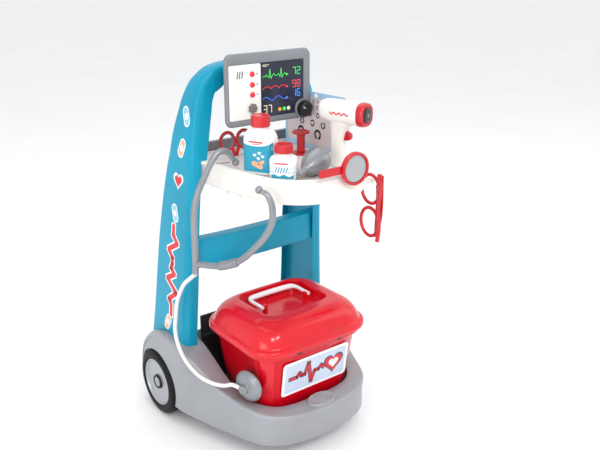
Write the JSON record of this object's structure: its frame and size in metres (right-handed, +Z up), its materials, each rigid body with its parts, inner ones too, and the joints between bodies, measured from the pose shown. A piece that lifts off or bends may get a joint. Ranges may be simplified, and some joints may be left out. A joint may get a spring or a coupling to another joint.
{
  "type": "toy crash cart",
  "caption": "Child's play crash cart: two-wheeled base with lift-out case, arched uprights, instrument tray, monitor with buttons and dials, stethoscope and small play instruments",
  "frame": {"origin": "on the floor, under the centre of the cart's bounding box", "axes": "+Z up, -Y the front where the case and tray stick out, +X the cart's right seen from behind"},
  "size_m": [0.33, 0.3705, 0.6265],
  "materials": {
    "base_shell": "injection-moulded silver-grey plastic",
    "rear_panel": "charcoal plastic",
    "wheel_axle": "bright steel rod",
    "rail_left": "teal moulded plastic, satin gloss",
    "rail_right": "teal moulded plastic, satin gloss",
    "foot_left": "black foot",
    "foot_right": "black foot",
    "top_handle": "teal moulded plastic, satin gloss",
    "cross_brace": "teal moulded plastic, satin gloss",
    "tray": "warm white plastic",
    "tray_bar": "silver-painted plastic",
    "monitor_housing": "grey plastic, satin",
    "monitor_panel": "warm white plastic",
    "monitor_screen": "dark printed plastic",
    "dial_ring": "silver-painted plastic",
    "battery_cover": "grey plastic, satin",
    "eye_chart": "printed card or label",
    "chart_pin": "warm white plastic",
    "left_tyre": "black tyre",
    "left_wheel_disc": "silver-painted plastic",
    "left_hub_cap": "black plastic",
    "right_tyre": "black tyre",
    "right_wheel_disc": "silver-painted plastic",
    "right_hub_cap": "black plastic",
    "button_1": "red moulded plastic",
    "button_2": "red moulded plastic",
    "button_3": "red moulded plastic",
    "mode_knob": "warm grey plastic",
    "dial_knob": "black plastic",
    "case_body": "red moulded plastic",
    "case_label": "printed card or label",
    "case_lid": "red moulded plastic",
    "case_handle": "warm white plastic",
    "stethoscope_headset": "silver-painted plastic",
    "ear_tip_outer": "silver-painted plastic",
    "ear_tip_inner": "silver-painted plastic",
    "stethoscope_tube": "warm white plastic",
    "stethoscope_chestpiece": "silver-painted plastic",
    "scissors_left": "red moulded plastic",
    "scissors_rivet": "bright steel rod",
    "scissors_right": "red moulded plastic",
    "bottle_large": "warm white plastic",
    "bottle_large_cap": "red moulded plastic",
    "bottle_small": "warm white plastic",
    "bottle_small_cap": "red moulded plastic",
    "syringe_barrel": "red moulded plastic",
    "syringe_plunger": "red moulded plastic",
    "otoscope": "silver-painted plastic",
    "mirror_ring": "red moulded plastic",
    "mirror_face": "silver-painted plastic",
    "thermometer_body": "warm white plastic",
    "thermometer_nose": "red moulded plastic",
    "thermometer_window": "dark printed plastic",
    "thermometer_trigger": "red moulded plastic",
    "glasses_front": "red moulded plastic",
    "glasses_temple_upper": "red moulded plastic",
    "glasses_temple_lower": "red moulded plastic"
  },
  "bodies": {
    "trolley": {"base_shell": "base_shell", "rear_panel": "rear_panel", "wheel_axle": "wheel_axle", "rail_left": "rail_left", "rail_right": "rail_right", "foot_left": "foot_left", "foot_right": "foot_right", "top_handle": "top_handle", "cross_brace": "cross_brace", "tray": "tray", "tray_bar": "tray_bar", "monitor_housing": "monitor_housing", "monitor_panel": "monitor_panel", "monitor_screen": "monitor_screen", "dial_ring": "dial_ring", "battery_cover": "battery_cover", "eye_chart": "eye_chart", "chart_pin": "chart_pin"},
    "left_wheel": {"left_tyre": "left_tyre", "left_wheel_disc": "left_wheel_disc", "left_hub_cap": "left_hub_cap"},
    "right_wheel": {"right_tyre": "right_tyre", "right_wheel_disc": "right_wheel_disc", "right_hub_cap": "right_hub_cap"},
    "button_high": {"button_1": "button_1"},
    "button_middle": {"button_2": "button_2"},
    "button_low": {"button_3": "button_3"},
    "mode_selector": {"mode_knob": "mode_knob"},
    "dial": {"dial_knob": "dial_knob"},
    "case": {"case_body": "case_body", "case_label": "case_label"},
    "lid": {"case_lid": "case_lid"},
    "bail": {"case_handle": "case_handle"},
    "stethoscope": {"stethoscope_headset": "stethoscope_headset", "ear_tip_outer": "ear_tip_outer", "ear_tip_inner": "ear_tip_inner", "stethoscope_tube": "stethoscope_tube", "stethoscope_chestpiece": "stethoscope_chestpiece"},
    "scissors_a": {"scissors_left": "scissors_left", "scissors_rivet": "scissors_rivet"},
    "scissors_b": {"scissors_right": "scissors_right"},
    "big_bottle": {"bottle_large": "bottle_large"},
    "big_cap": {"bottle_large_cap": "bottle_large_cap"},
    "little_bottle": {"bottle_small": "bottle_small"},
    "little_cap": {"bottle_small_cap": "bottle_small_cap"},
    "syringe": {"syringe_barrel": "syringe_barrel"},
    "plunger": {"syringe_plunger": "syringe_plunger"},
    "otoscope_body": {"otoscope": "otoscope"},
    "mirror": {"mirror_ring": "mirror_ring", "mirror_face": "mirror_face"},
    "thermometer": {"thermometer_body": "thermometer_body", "thermometer_nose": "thermometer_nose", "thermometer_window": "thermometer_window"},
    "trigger": {"thermometer_trigger": "thermometer_trigger"},
    "glasses": {"glasses_front": "glasses_front"},
    "temple_high": {"glasses_temple_upper": "glasses_temple_upper"},
    "temple_low": {"glasses_temple_lower": "glasses_temple_lower"}
  },
  "joints": [
    {"name": "left_wheel_spin", "type": "hinge", "parent": "trolley", "child": "left_wheel", "pos_m": [-0.148, 0.1163, 0.058], "axis": [1, 0, 0], "continuous": true},
    {"name": "right_wheel_spin", "type": "hinge", "parent": "trolley", "child": "right_wheel", "pos_m": [0.148, 0.1163, 0.058], "axis": [1, 0, 0], "continuous": true},
    {"name": "button_high_press", "type": "slide", "parent": "trolley", "child": "button_high", "axis": [0, 1, 0], "range_m": [0, 0.0015], "stiffness_N_per_m": 250, "springref_m": -0.001},
    {"name": "button_middle_press", "type": "slide", "parent": "trolley", "child": "button_middle", "axis": [0, 1, 0], "range_m": [0, 0.0015], "stiffness_N_per_m": 250, "springref_m": -0.001},
    {"name": "button_low_press", "type": "slide", "parent": "trolley", "child": "button_low", "axis": [0, 1, 0], "range_m": [0, 0.0015], "stiffness_N_per_m": 250, "springref_m": -0.001},
    {"name": "mode_selector_turn", "type": "hinge", "parent": "trolley", "child": "mode_selector", "pos_m": [-0.0345, -0.0077, 0.544], "axis": [0, -1, 0], "range_deg": [-140, 140]},
    {"name": "dial_turn", "type": "hinge", "parent": "trolley", "child": "dial", "pos_m": [0.0635, -0.0077, 0.5325], "axis": [0, -1, 0], "continuous": true},
    {"name": "case_lift", "type": "slide", "parent": "trolley", "child": "case", "axis": [0, -0.2, 0.9798], "range_m": [0, 0.08]},
    {"name": "lid_hinge", "type": "hinge", "parent": "case", "child": "lid", "pos_m": [0, 0.0463, 0.1885], "axis": [1, 0, 0], "range_deg": [-50, 0]},
    {"name": "bail_hinge", "type": "hinge", "parent": "lid", "child": "bail", "pos_m": [0, -0.0422, 0.2272], "axis": [1, 0, 0], "range_deg": [0, 90]},
    {"name": "stethoscope_lift", "type": "slide", "parent": "trolley", "child": "stethoscope", "axis": [-0.6019, -0.201, 0.7729], "range_m": [0, 0.1]},
    {"name": "scissors_lift", "type": "slide", "parent": "trolley", "child": "scissors_a", "axis": [0, 0, 1], "range_m": [0, 0.055]},
    {"name": "scissors_pivot", "type": "hinge", "parent": "scissors_a", "child": "scissors_b", "pos_m": [-0.036, 0.0383, 0.452], "axis": [0, 1, 0], "range_deg": [0, 16]},
    {"name": "bottle_large_lift", "type": "slide", "parent": "trolley", "child": "big_bottle", "axis": [0, 0, 1], "range_m": [0, 0.05]},
    {"name": "bottle_large_cap_lift", "type": "slide", "parent": "big_bottle", "child": "big_cap", "axis": [0, 0, 1], "range_m": [0, 0.02]},
    {"name": "bottle_small_lift", "type": "slide", "parent": "trolley", "child": "little_bottle", "axis": [0, 0, 1], "range_m": [0, 0.05]},
    {"name": "bottle_small_cap_lift", "type": "slide", "parent": "little_bottle", "child": "little_cap", "axis": [0, 0, 1], "range_m": [0, 0.02]},
    {"name": "syringe_lift", "type": "slide", "parent": "trolley", "child": "syringe", "axis": [0, 0, 1], "range_m": [0, 0.01]},
    {"name": "plunger_slide", "type": "slide", "parent": "syringe", "child": "plunger", "axis": [0, 0, 1], "range_m": [-0.026, 0]},
    {"name": "otoscope_lift", "type": "slide", "parent": "trolley", "child": "otoscope_body", "axis": [0, -0.3, 0.9539], "range_m": [0, 0.05]},
    {"name": "mirror_lift", "type": "slide", "parent": "trolley", "child": "mirror", "axis": [0, -0.6, 0.8], "range_m": [0, 0.05]},
    {"name": "thermometer_lift", "type": "slide", "parent": "trolley", "child": "thermometer", "axis": [0, 0, 1], "range_m": [0, 0.04]},
    {"name": "trigger_pull", "type": "slide", "parent": "thermometer", "child": "trigger", "axis": [-0.2419, 0.9703, 0], "range_m": [0, 0.003], "stiffness_N_per_m": 200, "springref_m": -0.001},
    {"name": "glasses_lift", "type": "slide", "parent": "trolley", "child": "glasses", "axis": [1, 0, 0], "range_m": [0, 0.03]},
    {"name": "temple_high_fold", "type": "hinge", "parent": "glasses", "child": "temple_high", "pos_m": [0.1254, -0.1287, 0.4375], "axis": [0, -1, 0], "range_deg": [0, 90]},
    {"name": "temple_low_fold", "type": "hinge", "parent": "glasses", "child": "temple_low", "pos_m": [0.1254, -0.1217, 0.3325], "axis": [0, 1, 0], "range_deg": [0, 90]}
  ]
}
